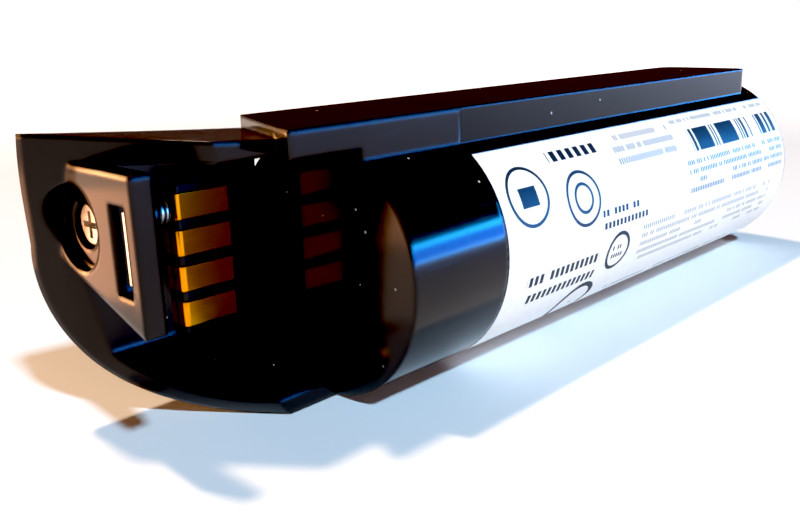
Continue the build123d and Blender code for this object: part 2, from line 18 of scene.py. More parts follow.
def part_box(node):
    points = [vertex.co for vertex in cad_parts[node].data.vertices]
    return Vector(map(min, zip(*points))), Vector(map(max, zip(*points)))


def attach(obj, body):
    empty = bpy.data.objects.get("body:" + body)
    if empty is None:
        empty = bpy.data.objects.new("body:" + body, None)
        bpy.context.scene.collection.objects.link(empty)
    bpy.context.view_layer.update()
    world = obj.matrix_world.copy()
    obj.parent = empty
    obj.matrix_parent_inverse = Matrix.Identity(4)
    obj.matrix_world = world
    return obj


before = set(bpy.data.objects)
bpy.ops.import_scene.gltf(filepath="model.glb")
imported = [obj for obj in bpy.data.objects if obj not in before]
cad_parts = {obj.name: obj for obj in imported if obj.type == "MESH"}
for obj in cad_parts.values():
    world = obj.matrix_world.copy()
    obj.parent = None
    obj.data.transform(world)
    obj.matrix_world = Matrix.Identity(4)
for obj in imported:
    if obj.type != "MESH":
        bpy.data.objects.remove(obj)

LOG = logging.getLogger("battery")
AXIS_HEIGHT = 0.011
MM = 0.001

Color = tuple[float, float, float]
Socket = bpy.types.NodeSocket


class PrintKind(Enum):
    """What one printed area of the label holds."""

    TEXT = "rows of short dashes"
    BARS = "bars across the tube"
    SOLID = "filled block"
    RING = "thin ring"
    DISC = "filled disc"


class Form(Enum):
    """Which group of surface marks a finish shows."""

    GLOSS = "gloss moulding"
    MATTE = "matte moulding"
    METAL = "drawn or plated metal"
    LABEL = "printed film"
    BOARD = "circuit board"
    ROLL = "wound foil"
    FOAM = "open foam"


class NodeGraph:
    """Adds and links nodes in one node tree."""

    def __init__(self, tree: bpy.types.NodeTree) -> None:
        """Keeps the tree.

        Args:
            tree: The tree that the nodes go into.
        """
        self.tree = tree

    def add(self, kind: str, **values: Any) -> bpy.types.Node:
        """Adds one node.

        Args:
            kind: The node's type name.
            values: Node properties to set.

        Returns:
            The new node.
        """
        node = self.tree.nodes.new(kind)
        for key, value in values.items():
            setattr(node, key, value)
        return node

    def feed(self, node: bpy.types.Node, **sockets: Any) -> bpy.types.Node:
        """Sets or links a node's inputs by name, with underscores for spaces.

        Args:
            node: The node to feed.
            sockets: Constant values, or output sockets to link.

        Returns:
            The same node.
        """
        for key, value in sockets.items():
            socket = node.inputs[key.replace("_", " ")]
            if isinstance(value, Socket):
                self.tree.links.new(value, socket)
            else:
                socket.default_value = value
        return node

    def math(self, operation: str, *operands: Any) -> Socket:
        """Adds a Math node.

        Args:
            operation: The operation's name.
            operands: Numbers or output sockets, in order.

        Returns:
            The node's output.
        """
        node = self.add("ShaderNodeMath", operation=operation)
        for index, value in enumerate(operands):
            if isinstance(value, Socket):
                self.tree.links.new(value, node.inputs[index])
            else:
                node.inputs[index].default_value = value
        return node.outputs[0]

    def length(self, first: Socket, second: Socket) -> Socket:
        """Gives the length of a flat vector.

        Args:
            first: The part along one axis.
            second: The part along the other.

        Returns:
            The length.
        """
        squares = [self.math("MULTIPLY", part, part) for part in (first, second)]
        return self.math("SQRT", self.math("ADD", *squares))

    def noise(self, vector: Socket, scale: float, detail: float = 3.0) -> Socket:
        """Adds a noise texture.

        Args:
            vector: Coordinates to read.
            scale: Waves per metre, roughly.
            detail: Octaves.

        Returns:
            The noise value.
        """
        node = self.add("ShaderNodeTexNoise")
        self.feed(node, Vector=vector, Scale=scale, Detail=detail)
        return node.outputs["Fac"]

    def ramp(self, value: Socket, low: float, high: float, start: float, end: float) -> Socket:
        """Maps a value from one range to another and clamps it.

        Args:
            value: The value to map.
            low: Start of the input range.
            high: End of the input range.
            start: Output at low.
            end: Output at high.

        Returns:
            The mapped value.
        """
        node = self.add("ShaderNodeMapRange")
        self.feed(node, Value=value, From_Min=low, From_Max=high, To_Min=start, To_Max=end)
        return node.outputs["Result"]

    def stretch(self, vector: Socket, scale: Sequence[float]) -> Socket:
        """Scales coordinates.

        Args:
            vector: Coordinates to scale.
            scale: One factor per axis.

        Returns:
            The scaled coordinates.
        """
        node = self.add("ShaderNodeMapping")
        self.feed(node, Vector=vector, Scale=tuple(scale))
        return node.outputs["Vector"]


def new_group(name: str, inputs: dict[str, float], outputs: Sequence[str]) -> tuple[NodeGraph, Any, Any]:
    """Makes an empty shader group that takes coordinates and numbers and gives numbers.

    Args:
        name: The group's name.
        inputs: Number inputs with their defaults. A Vector input comes first.
        outputs: Names of the number outputs.

    Returns:
        The graph, its input node and its output node.
    """
    tree = bpy.data.node_groups.new(name, "ShaderNodeTree")
    tree.interface.new_socket("Vector", in_out="INPUT", socket_type="NodeSocketVector")
    for key, value in inputs.items():
        tree.interface.new_socket(key, in_out="INPUT", socket_type="NodeSocketFloat").default_value = value
    for key in outputs:
        tree.interface.new_socket(key, in_out="OUTPUT", socket_type="NodeSocketFloat")
    graph = NodeGraph(tree)
    return graph, graph.add("NodeGroupInput"), graph.add("NodeGroupOutput")


def dust_group() -> bpy.types.NodeTree:
    """Builds the specks of dust that lie on a gloss moulding.

    Returns:
        A group that gives a mask of specks.
    """
    graph, source, sink = new_group("dust_specks", {"Scale": 700.0, "Share": 0.12, "Size": 0.07}, ["Mask"])
    cells = graph.add("ShaderNodeTexVoronoi")
    graph.feed(cells, Vector=source.outputs["Vector"], Scale=source.outputs["Scale"])
    parts = graph.add("ShaderNodeSeparateColor")
    graph.feed(parts, Color=cells.outputs["Color"])
    chosen = graph.math("LESS_THAN", parts.outputs["Red"], source.outputs["Share"])
    radius = graph.math("MULTIPLY", source.outputs["Size"], graph.math("ADD", parts.outputs["Green"], 0.4))
    near = graph.math("LESS_THAN", cells.outputs["Distance"], radius)
    graph.feed(sink, Mask=graph.math("MULTIPLY", chosen, near))
    return graph.tree


def scuff_group() -> bpy.types.NodeTree:
    """Builds fine scratches and wiped patches.

    Returns:
        A group that gives scratches and slow patches, both from 0 to 1.
    """
    graph, source, sink = new_group("scuffs", {"Scale": 160.0}, ["Scratches", "Patches"])
    along = graph.stretch(source.outputs["Vector"], (0.6, 14.0, 14.0))
    across = graph.stretch(source.outputs["Vector"], (16.0, 1.2, 1.2))
    first = graph.add("ShaderNodeTexNoise")
    graph.feed(first, Vector=along, Scale=source.outputs["Scale"], Detail=2.0)
    second = graph.add("ShaderNodeTexNoise")
    graph.feed(second, Vector=across, Scale=source.outputs["Scale"], Detail=2.0)
    lines = graph.math(
        "MAXIMUM",
        graph.ramp(first.outputs["Fac"], 0.66, 0.72, 0.0, 1.0),
        graph.ramp(second.outputs["Fac"], 0.68, 0.74, 0.0, 1.0),
    )
    patches = graph.noise(source.outputs["Vector"], 90.0, 4.0)
    graph.feed(sink, Scratches=lines, Patches=graph.ramp(patches, 0.35, 0.7, 0.0, 1.0))
    return graph.tree


def grain_group() -> bpy.types.NodeTree:
    """Builds the fine spark texture of a matte mould.

    Returns:
        A group that gives a height from 0 to 1.
    """
    graph, source, sink = new_group("mould_grain", {"Scale": 5200.0}, ["Height"])
    node = graph.add("ShaderNodeTexNoise")
    graph.feed(node, Vector=source.outputs["Vector"], Scale=source.outputs["Scale"], Detail=4.0)
    graph.feed(sink, Height=node.outputs["Fac"])
    return graph.tree


def brushed_group() -> bpy.types.NodeTree:
    """Builds the lines that drawing or plating leaves on strip metal.

    Returns:
        A group that gives lines and smudges, both from 0 to 1.
    """
    graph, source, sink = new_group("brushed_strip", {"Scale": 900.0}, ["Lines", "Smudges"])
    drawn = graph.stretch(source.outputs["Vector"], (0.15, 3.0, 6.0))
    node = graph.add("ShaderNodeTexNoise")
    graph.feed(node, Vector=drawn, Scale=source.outputs["Scale"], Detail=5.0)
    smudge = graph.noise(graph.stretch(source.outputs["Vector"], (0.6, 1.0, 1.4)), 620.0, 3.0)
    graph.feed(sink, Lines=node.outputs["Fac"], Smudges=graph.ramp(smudge, 0.5, 0.72, 0.0, 1.0))
    return graph.tree


@dataclass(frozen=True)
class PrintArea:
    """One printed area of the label, in millimetres: along the tube, and round it from the bottom."""

    kind: PrintKind
    along: tuple[float, float]
    around: tuple[float, float]
    pitch: float = 1.2
    stroke: float = 0.42
    ink: float = 1.0


@dataclass
class LabelPrint:
    """The label's plain printed pattern. It holds no lettering and no marks."""

    radius: float = 11.0
    areas: tuple[PrintArea, ...] = (
        PrintArea(PrintKind.RING, (-13.2, -7.6), (-25.0, -19.4), pitch=0.16),
        PrintArea(PrintKind.SOLID, (-11.6, -9.2), (-23.0, -21.2)),
        PrintArea(PrintKind.RING, (-5.2, 0.2), (-23.4, -18.0), pitch=0.16),
        PrintArea(PrintKind.RING, (-4.0, -1.0), (-22.2, -19.2), pitch=0.16),
        PrintArea(PrintKind.TEXT, (-5.6, 3.2), (-26.3, -24.1), pitch=2.2, stroke=1.3),
        PrintArea(PrintKind.TEXT, (5.2, 17.2), (-26.4, -22.5), pitch=1.3, ink=0.75),
        PrintArea(PrintKind.TEXT, (18.4, 43.0), (-26.7, -25.7), pitch=1.0, ink=0.75),
        PrintArea(PrintKind.SOLID, (22.0, 25.6), (-24.9, -22.2)),
        PrintArea(PrintKind.SOLID, (27.6, 31.6), (-24.9, -22.2)),
        PrintArea(PrintKind.BARS, (20.6, 43.4), (-24.9, -22.2)),
        PrintArea(PrintKind.TEXT, (18.0, 43.4), (-21.6, -17.6), pitch=1.0, ink=0.9),
        PrintArea(PrintKind.TEXT, (0.2, 8.6), (-19.3, -16.8), pitch=1.25, stroke=0.7),
        PrintArea(PrintKind.RING, (1.6, 5.8), (-16.4, -12.2), pitch=0.2),
        PrintArea(PrintKind.TEXT, (2.6, 4.8), (-15.2, -13.4), pitch=0.9),
        PrintArea(PrintKind.TEXT, (-11.4, 0.2), (-15.4, -11.6), pitch=1.9, stroke=0.8),
        PrintArea(PrintKind.TEXT, (8.0, 40.0), (-16.4, -11.6), pitch=0.95, ink=0.6),
        PrintArea(PrintKind.RING, (-3.4, 2.6), (-11.6, -5.6), pitch=0.3),
        PrintArea(PrintKind.DISC, (-1.8, 1.0), (-10.0, -7.2), ink=0.7),
        PrintArea(PrintKind.TEXT, (5.0, 38.0), (-9.0, 2.0), pitch=1.4, ink=0.6),
        PrintArea(PrintKind.TEXT, (-10.0, 30.0), (6.0, 14.0), pitch=1.6, ink=0.8),
        PrintArea(PrintKind.BARS, (-8.0, 24.0), (17.0, 22.0)),
    )

    def within(self, graph: NodeGraph, value: Socket, span: tuple[float, float]) -> Socket:
        """Gives 1 where a value lies in a span.

        Args:
            graph: The graph to add to.
            value: The value to test.
            span: Lowest and highest value.

        Returns:
            The test's result.
        """
        return graph.math("COMPARE", value, (span[0] + span[1]) / 2, (span[1] - span[0]) / 2)

    def cells(self, graph: NodeGraph, value: Socket, size: float) -> tuple[Any, Any]:
        """Splits a length into equal cells.

        Args:
            graph: The graph to add to.
            value: Length in millimetres.
            size: One cell's length in millimetres.

        Returns:
            The cell's number and the place within it.
        """
        scaled = graph.math("DIVIDE", value, size)
        return graph.math("FLOOR", scaled), graph.math("FRACT", scaled)

    def chance(self, graph: NodeGraph, first: Socket, second: Any, share: float) -> Socket:
        """Gives 1 in a share of cells, always the same ones.

        Args:
            graph: The graph to add to.
            first: The cell's number one way.
            second: The cell's number the other way, or a constant.
            share: The share of cells that are empty.

        Returns:
            1 or 0.
        """
        pair = graph.add("ShaderNodeCombineXYZ")
        graph.feed(pair, X=first, Y=second)
        white = graph.add("ShaderNodeTexWhiteNoise", noise_dimensions="2D")
        graph.feed(white, Vector=pair.outputs[0])
        return graph.math("GREATER_THAN", white.outputs["Value"], share)

    def mark(self, graph: NodeGraph, area: PrintArea, x: Any, s: Any) -> Socket:
        """Adds the ink of one printed area.

        Args:
            graph: The graph to add to.
            area: The area.
            x: Place along the tube in millimetres.
            s: Place round the tube in millimetres.

        Returns:
            The area's ink from 0 to 1.
        """
        along = self.within(graph, x, area.along)
        inside = graph.math("MULTIPLY", along, self.within(graph, s, area.around))
        if area.kind in (PrintKind.RING, PrintKind.DISC):
            middle = [(a + b) / 2 for a, b in (area.along, area.around)]
            radius = (area.along[1] - area.along[0]) / 2 - area.pitch
            dx = graph.math("SUBTRACT", x, middle[0])
            ds = graph.math("SUBTRACT", s, middle[1])
            far = graph.length(dx, ds)
            if area.kind is PrintKind.DISC:
                return graph.math("MULTIPLY", graph.math("LESS_THAN", far, radius), area.ink)
            return graph.math("COMPARE", far, radius, area.pitch)
        if area.kind is PrintKind.SOLID:
            return inside
        if area.kind is PrintKind.BARS:
            column, _ = self.cells(graph, x, 0.3)
            return graph.math("MULTIPLY", inside, self.chance(graph, column, 3.0, 0.5))
        row, height = self.cells(graph, graph.math("SUBTRACT", s, area.around[0]), area.pitch)
        shifted = graph.math("MULTIPLY_ADD", row, 0.37, x)
        column, place = self.cells(graph, shifted, area.stroke)
        tall = self.within(graph, height, (0.25, 0.75))
        body = graph.math("MULTIPLY", tall, self.within(graph, place, (0.2, 0.8)))
        word, _ = self.cells(graph, shifted, area.stroke * 5)
        ticked = self.chance(graph, column, row, 0.12)
        kept = graph.math("MULTIPLY", ticked, self.chance(graph, word, row, 0.14))
        shown = graph.math("MULTIPLY", graph.math("MULTIPLY", inside, body), kept)
        return graph.math("MULTIPLY", shown, area.ink)

    def group(self) -> bpy.types.NodeTree:
        """Builds the whole print.

        Returns:
            A group that gives the ink from 0 to 1.
        """
        graph, source, sink = new_group("label_print", {}, ["Ink"])
        parts = graph.add("ShaderNodeSeparateXYZ")
        graph.feed(parts, Vector=source.outputs["Vector"])
        x = graph.math("DIVIDE", parts.outputs["X"], MM)
        down = graph.math("SUBTRACT", AXIS_HEIGHT, parts.outputs["Z"])
        s = graph.math("MULTIPLY", graph.math("ARCTAN2", parts.outputs["Y"], down), self.radius)
        total: Any = 0.0
        for area in self.areas:
            total = graph.math("MAXIMUM", self.mark(graph, area, x, s), total)
        graph.feed(sink, Ink=total)
        return graph.tree


class SharedGroups:
    """Builds each shared shader group once."""

    def __init__(self) -> None:
        """Starts with no groups built."""
        self.built: dict[str, bpy.types.NodeTree] = {}

    def get(self, name: str, maker: Callable[[], bpy.types.NodeTree]) -> bpy.types.NodeTree:
        """Gives a group, building it on first use.

        Args:
            name: The key to keep it under.
            maker: Builds the group.

        Returns:
            The group's tree.
        """
        if name not in self.built:
            self.built[name] = maker()
        return self.built[name]


GROUPS = SharedGroups()


@dataclass(frozen=True)
class Finish:
    """One surface finish, from its form, colour and gloss."""

    name: str
    form: Form
    color: Color
    roughness: float
    second: Color = (0.4, 0.38, 0.35)
    metallic: float = 0.0
    edge: float = 0.0
    bump: float = 0.05
    share: float = 0.1
    ior: float = 1.45
    grain: float = 0.2

    def start(self) -> tuple[bpy.types.Material, NodeGraph, bpy.types.Node, Socket]:
        """Makes the material with its shader.

        Returns:
            The material, its graph, the shader and the object coordinates.
        """
        material = bpy.data.materials.new(self.name)
        material.use_nodes = True
        material.node_tree.nodes.clear()
        graph = NodeGraph(material.node_tree)
        shader = graph.add("ShaderNodeBsdfPrincipled")
        sink = graph.add("ShaderNodeOutputMaterial")
        graph.feed(sink, Surface=shader.outputs[0])
        graph.feed(shader, Metallic=self.metallic, IOR=self.ior)
        material.diffuse_color = (*self.color, 1.0)
        return material, graph, shader, graph.add("ShaderNodeTexCoord").outputs["Object"]

    def use(
        self, graph: NodeGraph, name: str, maker: Callable[[], bpy.types.NodeTree], **sockets: Any
    ) -> bpy.types.Node:
        """Adds a shared group.

        Args:
            graph: The material's graph.
            name: The group's key.
            maker: Builds the group.
            sockets: Its inputs.

        Returns:
            The group's node.
        """
        node = graph.add("ShaderNodeGroup", node_tree=GROUPS.get(name, maker))
        return graph.feed(node, **sockets)

    def mix(self, graph: NodeGraph, share: Any, first: Any, second: Any) -> Socket:
        """Mixes two colours.

        Args:
            graph: The material's graph.
            share: How much of the second colour.
            first: A colour or a colour output.
            second: A colour or a colour output.

        Returns:
            The mixed colour.
        """
        node = graph.add("ShaderNodeMix", data_type="RGBA")
        for index, value in ((0, share), (6, first), (7, second)):
            if isinstance(value, Socket):
                graph.tree.links.new(value, node.inputs[index])
            else:
                node.inputs[index].default_value = value if index == 0 else (*value, 1.0)
        return node.outputs[2]

    def relief(self, graph: NodeGraph, shader: bpy.types.Node, height: Any, distance: float) -> None:
        """Adds surface relief over softened edges.

        Args:
            graph: The material's graph.
            shader: The shader to feed.
            height: Height from 0 to 1.
            distance: The relief's depth in metres.
        """
        bump = graph.add("ShaderNodeBump")
        graph.feed(bump, Strength=self.bump, Distance=distance, Height=height)
        if self.edge > 0:
            soft = graph.add("ShaderNodeBevel", samples=6)
            graph.feed(soft, Radius=self.edge)
            graph.feed(bump, Normal=soft.outputs[0])
        graph.feed(shader, Normal=bump.outputs[0])

    def gloss(self, graph: NodeGraph, shader: bpy.types.Node, place: Any) -> None:
        """Dresses a gloss moulding: dust, scratches and a slight ripple.

        Args:
            graph: The material's graph.
            shader: The shader to feed.
            place: Object coordinates.
        """
        dust = self.use(graph, "dust", dust_group, Vector=place, Share=self.share)
        scuffs = self.use(graph, "scuffs", scuff_group, Vector=place)
        tint = self.mix(graph, scuffs.outputs["Patches"], self.color, tuple(c * 1.5 for c in self.color))
        graph.feed(shader, Base_Color=self.mix(graph, dust.outputs["Mask"], tint, self.second))
        worn = graph.math("MULTIPLY_ADD", scuffs.outputs["Scratches"], 0.08, self.roughness)
        patched = graph.math("MULTIPLY_ADD", scuffs.outputs["Patches"], 0.02, worn)
        graph.feed(shader, Roughness=graph.math("MULTIPLY_ADD", dust.outputs["Mask"], 0.6, patched))
        ripple = graph.noise(place, 260.0, 2.0)
        self.relief(graph, shader, graph.math("ADD", ripple, dust.outputs["Mask"]), 0.00006)

    def matte(self, graph: NodeGraph, shader: bpy.types.Node, place: Any) -> None:
        """Dresses a matte moulding or a paper or film piece.

        Args:
            graph: The material's graph.
            shader: The shader to feed.
            place: Object coordinates.
        """
        grain = self.use(graph, "grain", grain_group, Vector=place)
        slow = graph.ramp(graph.noise(place, 240.0, 4.0), 0.35, 0.7, 0.0, 1.0)
        lighter = tuple(c * 1.35 for c in self.color)
        graph.feed(shader, Base_Color=self.mix(graph, slow, self.color, lighter))
        rough = graph.math("MULTIPLY_ADD", grain.outputs["Height"], 0.15, self.roughness)
        graph.feed(shader, Roughness=rough)
        self.relief(graph, shader, grain.outputs["Height"], 0.00002)

    def metal(self, graph: NodeGraph, shader: bpy.types.Node, place: Any) -> None:
        """Dresses strip metal: drawn lines and rubbed smudges.

        Args:
            graph: The material's graph.
            shader: The shader to feed.
            place: Object coordinates.
        """
        strip = self.use(graph, "brushed", brushed_group, Vector=place)
        rubbed = graph.math("MULTIPLY", strip.outputs["Smudges"], 0.55)
        graph.feed(shader, Base_Color=self.mix(graph, rubbed, self.color, self.second))
        rough = graph.math("MULTIPLY_ADD", strip.outputs["Lines"], self.grain, self.roughness)
        smeared = graph.math("MULTIPLY_ADD", strip.outputs["Smudges"], self.grain, rough)
        graph.feed(shader, Roughness=smeared)
        self.relief(graph, shader, strip.outputs["Lines"], 0.00002)

    def label(self, graph: NodeGraph, shader: bpy.types.Node, place: Any) -> None:
        """Dresses the printed label.

        Args:
            graph: The material's graph.
            shader: The shader to feed.
            place: Object coordinates.
        """
        ink = self.use(graph, "print", LabelPrint().group, Vector=place)
        paper = graph.noise(place, 1500.0, 4.0)
        mottle = graph.ramp(paper, 0.4, 0.7, 0.0, 1.0)
        white = self.mix(graph, mottle, self.color, tuple(c * 0.95 for c in self.color))
        graph.feed(shader, Base_Color=self.mix(graph, ink.outputs["Ink"], white, self.second))
        graph.feed(shader, Roughness=graph.math("MULTIPLY_ADD", paper, 0.15, self.roughness))
        self.relief(graph, shader, graph.noise(place, 320.0, 3.0), 0.00005)

    def board(self, graph: NodeGraph, shader: bpy.types.Node, place: Any) -> None:
        """Dresses the circuit board: solder mask over raised tracks.

        Args:
            graph: The material's graph.
            shader: The shader to feed.
            place: Object coordinates.
        """
        turned = graph.add("ShaderNodeMapping")
        graph.feed(turned, Vector=place, Rotation=(0.0, math.pi / 2, 0.0))
        bricks = graph.add("ShaderNodeTexBrick", offset=0.5)
        graph.feed(bricks, Vector=turned.outputs[0], Scale=240.0, Mortar_Size=0.03)
        tracks = graph.math("SUBTRACT", 1.0, bricks.outputs["Fac"])
        graph.feed(shader, Base_Color=self.mix(graph, tracks, self.second, self.color))
        rough = graph.math("MULTIPLY_ADD", graph.noise(place, 900.0), 0.2, self.roughness)
        graph.feed(shader, Roughness=rough)
        self.relief(graph, shader, tracks, 0.00003)

    def roll(self, graph: NodeGraph, shader: bpy.types.Node, place: Any) -> None:
        """Dresses the wound foil: fine turns on its ends.

        Args:
            graph: The material's graph.
            shader: The shader to feed.
            place: Object coordinates.
        """
        parts = graph.add("ShaderNodeSeparateXYZ")
        graph.feed(parts, Vector=place)
        up = graph.math("SUBTRACT", parts.outputs["Z"], AXIS_HEIGHT)
        across = parts.outputs["Y"]
        radius = graph.length(up, across)
        turns = graph.math("FRACT", graph.math("DIVIDE", radius, 0.0003))
        bands = graph.math("GREATER_THAN", turns, 0.5)
        graph.feed(shader, Base_Color=self.mix(graph, bands, self.color, self.second))
        rough = graph.math("MULTIPLY_ADD", graph.noise(place, 800.0), 0.2, self.roughness)
        graph.feed(shader, Roughness=rough)
        self.relief(graph, shader, turns, 0.00005)

    def foam(self, graph: NodeGraph, shader: bpy.types.Node, place: Any) -> None:
        """Dresses open foam: small cells.

        Args:
            graph: The material's graph.
            shader: The shader to feed.
            place: Object coordinates.
        """
        cells = graph.add("ShaderNodeTexVoronoi")
        graph.feed(cells, Vector=place, Scale=1800.0)
        graph.feed(shader, Base_Color=self.mix(graph, cells.outputs["Distance"], self.color, self.second))
        rough = graph.math("MULTIPLY_ADD", cells.outputs["Distance"], 0.1, self.roughness)
        graph.feed(shader, Roughness=rough)
        self.relief(graph, shader, cells.outputs["Distance"], 0.0002)

    def material(self) -> bpy.types.Material:
        """Builds the finish's material, or gives the one already built.

        Returns:
            The material.
        """
        if self.name in bpy.data.materials:
            return bpy.data.materials[self.name]
        material, graph, shader, place = self.start()
        dress = {
            Form.GLOSS: self.gloss,
            Form.MATTE: self.matte,
            Form.METAL: self.metal,
            Form.LABEL: self.label,
            Form.BOARD: self.board,
            Form.ROLL: self.roll,
            Form.FOAM: self.foam,
        }[self.form]
        dress(graph, shader, place)
        return material


HOUSING = Finish(
    "black_gloss_housing", Form.GLOSS, (0.005, 0.004, 0.004), 0.02, edge=0.0003, bump=0.06, ior=1.4
)
HOOD = Finish(
    "black_satin_hood",
    Form.GLOSS,
    (0.008, 0.005, 0.004),
    0.12,
    edge=0.0006,
    bump=0.12,
    share=0.12,
    ior=1.4,
)
CARRIER = Finish("black_matte_carrier", Form.MATTE, (0.01, 0.008, 0.007), 0.3, edge=0.00012, ior=1.4)
GOLD = Finish(
    "worn_contact_gold",
    Form.METAL,
    (0.92, 0.34, 0.03),
    0.15,
    second=(0.55, 0.16, 0.012),
    metallic=1.0,
    edge=0.0001,
    grain=0.06,
)
STEEL = Finish(
    "turned_steel",
    Form.METAL,
    (0.72, 0.69, 0.64),
    0.2,
    second=(0.4, 0.36, 0.32),
    metallic=1.0,
    edge=0.00008,
)
NICKEL = Finish("nickel_strip", Form.METAL, (0.66, 0.62, 0.55), 0.24, second=(0.5, 0.46, 0.4), metallic=1.0)
FOIL = Finish("aluminium_foil", Form.METAL, (0.8, 0.8, 0.82), 0.3, second=(0.6, 0.6, 0.62), metallic=1.0)
# Dark steel for the screw thread: its dark colour is painted shade, which keeps the thread as dark as the
# shaded pocket it sits in.
THREAD_PAINTED_DARK = Finish(
    "thread_steel_painted_shade", Form.METAL, (0.1, 0.09, 0.08), 0.3, second=(0.2, 0.17, 0.14), metallic=1.0
)
COPPER = Finish("bare_copper", Form.METAL, (0.8, 0.36, 0.18), 0.3, second=(0.5, 0.2, 0.1), metallic=1.0)
LABEL = Finish(
    "white_label_film", Form.LABEL, (0.86, 0.86, 0.86), 0.45, second=(0.012, 0.012, 0.014), bump=0.1
)
SEAL = Finish("black_seal_rubber", Form.MATTE, (0.02, 0.02, 0.02), 0.6)
PAPER = Finish("barley_paper", Form.MATTE, (0.55, 0.53, 0.46), 0.7, bump=0.2)
SLEEVE = Finish(
    "blue_shrink_sleeve", Form.GLOSS, (0.03, 0.16, 0.3), 0.22, second=(0.1, 0.3, 0.45), share=0.02
)
AMBER = Finish("clear_amber_film", Form.GLOSS, (0.6, 0.24, 0.02), 0.25, second=(0.7, 0.4, 0.1), share=0.02)
CHIP = Finish("chip_resin", Form.MATTE, (0.02, 0.02, 0.021), 0.5)
CERAMIC = Finish("tan_ceramic", Form.MATTE, (0.28, 0.2, 0.12), 0.5)
BOARD = Finish("green_board", Form.BOARD, (0.01, 0.09, 0.035), 0.3, second=(0.02, 0.17, 0.06))
ROLL = Finish(
    "wound_electrodes", Form.ROLL, (0.05, 0.045, 0.045), 0.5, second=(0.5, 0.26, 0.14), metallic=0.6
)
FOAM = Finish("black_foam", Form.FOAM, (0.02, 0.02, 0.02), 0.85, second=(0.06, 0.06, 0.06))


def dress_node(name: str, finish: Finish) -> None:
    """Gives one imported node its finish.

    Args:
        name: The node's name.
        finish: Its finish.
    """
    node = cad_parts[name]
    node.data.materials.clear()
    node.data.materials.append(finish.material())
    LOG.info("dressed %s in %s", name, finish.name)


@dataclass
class DressedSet:
    """A sub-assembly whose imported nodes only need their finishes."""

    name: str
    finishes: dict[str, Finish] = field(default_factory=dict)

    def dress(self) -> None:
        """Dresses every node of the set."""
        for node, finish in self.finishes.items():
            dress_node(node, finish)
        LOG.info("%s: %d pieces", self.name, len(self.finishes))


@dataclass
class ScrewThread:
    """The captive screw's M2 thread, a ridge that winds round its shank."""

    node: str = "captive_screw"
    body: str = "screw"
    radius: float = 0.00098
    ridge: float = 0.00013
    pitch: float = 0.0004
    length: float = 0.0013
    end_gap: float = 0.0001
    steps_per_turn: int = 24

    def tree(self) -> bpy.types.NodeTree:
        """Builds the node tree that winds the ridge.

        Returns:
            The tree, with named inputs for its sizes.
        """
        tree = bpy.data.node_groups.new("wind_thread", "GeometryNodeTree")
        sizes = {
            "Radius": self.radius,
            "Ridge": self.ridge,
            "Length": self.length,
            "Turns": self.length / self.pitch,
        }
        for key, value in sizes.items():
            socket = tree.interface.new_socket(key, in_out="INPUT", socket_type="NodeSocketFloat")
            socket.default_value = value
        tree.interface.new_socket("Place", in_out="INPUT", socket_type="NodeSocketVector")
        tree.interface.new_socket("Finish", in_out="INPUT", socket_type="NodeSocketMaterial")
        tree.interface.new_socket("Geometry", in_out="OUTPUT", socket_type="NodeSocketGeometry")
        graph = NodeGraph(tree)
        source, sink = graph.add("NodeGroupInput"), graph.add("NodeGroupOutput")
        path = graph.add("GeometryNodeCurveSpiral")
        graph.feed(
            path,
            Resolution=self.steps_per_turn,
            Rotations=source.outputs["Turns"],
            Start_Radius=source.outputs["Radius"],
            End_Radius=source.outputs["Radius"],
            Height=source.outputs["Length"],
        )
        profile = graph.add("GeometryNodeCurvePrimitiveCircle")
        graph.feed(profile, Resolution=4, Radius=source.outputs["Ridge"])
        sweep = graph.add("GeometryNodeCurveToMesh")
        graph.feed(sweep, Curve=path.outputs[0], Profile_Curve=profile.outputs[0], Fill_Caps=True)
        turn = graph.add("GeometryNodeTransform")
        graph.feed(
            turn,
            Geometry=sweep.outputs[0],
            Translation=source.outputs["Place"],
            Rotation=(0.0, math.pi / 2, 0.0),
        )
        real = graph.add("GeometryNodeRealizeInstances")
        graph.feed(real, Geometry=turn.outputs[0])
        paint = graph.add("GeometryNodeSetMaterial")
        graph.feed(paint, Geometry=real.outputs[0], Material=source.outputs["Finish"])
        graph.feed(sink, Geometry=paint.outputs[0])
        return tree

    def build(self) -> bpy.types.Object:
        """Winds the ridge on the screw's shank.

        Returns:
            The finished piece.
        """
        low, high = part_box(self.node)
        place = Vector((high.x - self.end_gap - self.length, (low.y + high.y) / 2, (low.z + high.z) / 2))
        holder = bpy.data.objects.new("thread_source", bpy.data.meshes.new("thread_source"))
        bpy.context.scene.collection.objects.link(holder)
        tree = self.tree()
        modifier = holder.modifiers.new("wind_thread", "NODES")
        modifier.node_group = tree
        keys = {item.name: item.identifier for item in tree.interface.items_tree if item.in_out == "INPUT"}
        modifier[keys["Place"]] = tuple(place)
        # The thread's dark material is painted shade for the pocket it sits in.
        modifier[keys["Finish"]] = THREAD_PAINTED_DARK.material()
        bpy.context.view_layer.update()
        evaluated = holder.evaluated_get(bpy.context.evaluated_depsgraph_get())
        mesh = bpy.data.meshes.new_from_object(evaluated)
        mesh.name = "screw_thread"
        bpy.data.objects.remove(holder)
        piece = bpy.data.objects.new("screw_thread", mesh)
        bpy.context.scene.collection.objects.link(piece)
        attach(piece, self.body)
        LOG.info("screw_thread: %d faces", len(mesh.polygons))
        return piece


@dataclass
class Housing:
    """The tube, its hood, the label and the seal between the two mouldings."""

    def dress(self) -> None:
        """Dresses the outer pieces."""
        DressedSet(
            "housing",
            {"tube_housing": HOUSING, "end_cap": HOOD, "label": LABEL, "joint_gasket": SEAL},
        ).dress()


@dataclass
class ContactBlock:
    """The four formed contacts and the carrier that holds them."""

    count: int = 4

    def dress(self) -> None:
        """Dresses the carrier and each contact."""
        contacts = {f"contact_{index + 1}": GOLD for index in range(self.count)}
        DressedSet("contact block", {"contact_carrier": CARRIER, **contacts}).dress()


